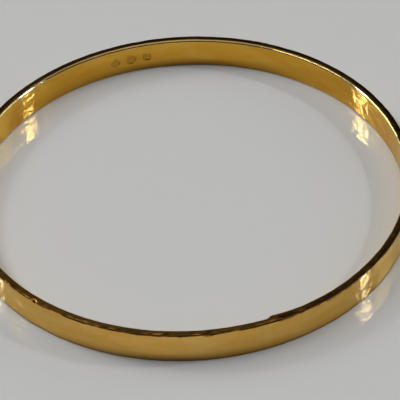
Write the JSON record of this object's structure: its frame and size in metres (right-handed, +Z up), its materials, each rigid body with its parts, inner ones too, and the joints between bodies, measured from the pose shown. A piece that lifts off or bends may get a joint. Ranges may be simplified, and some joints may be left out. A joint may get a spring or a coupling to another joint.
{
  "type": "bangle bracelet",
  "caption": "Plain round slip-on bangle of flat polished yellow gold, a bent strip closed by a soldered butt joint, for wearing round the wrist.",
  "frame": {"origin": "centre of the wrist opening, in the plane that the bangle rests on", "axes": "+Z up along the axis of the wrist opening; -Y faces the viewer, and the soldered joint is 72 degrees from +X towards -Y"},
  "size_m": [0.0674, 0.0674, 0.005],
  "materials": {
    "yellow_gold": "polished, with light scratches from wear",
    "gold_solder": "polished flush, a shade paler than the strip"
  },
  "bodies": {
    "root": {"band_strip": "yellow_gold", "solder_seam": "gold_solder"}
  },
  "joints": []
}
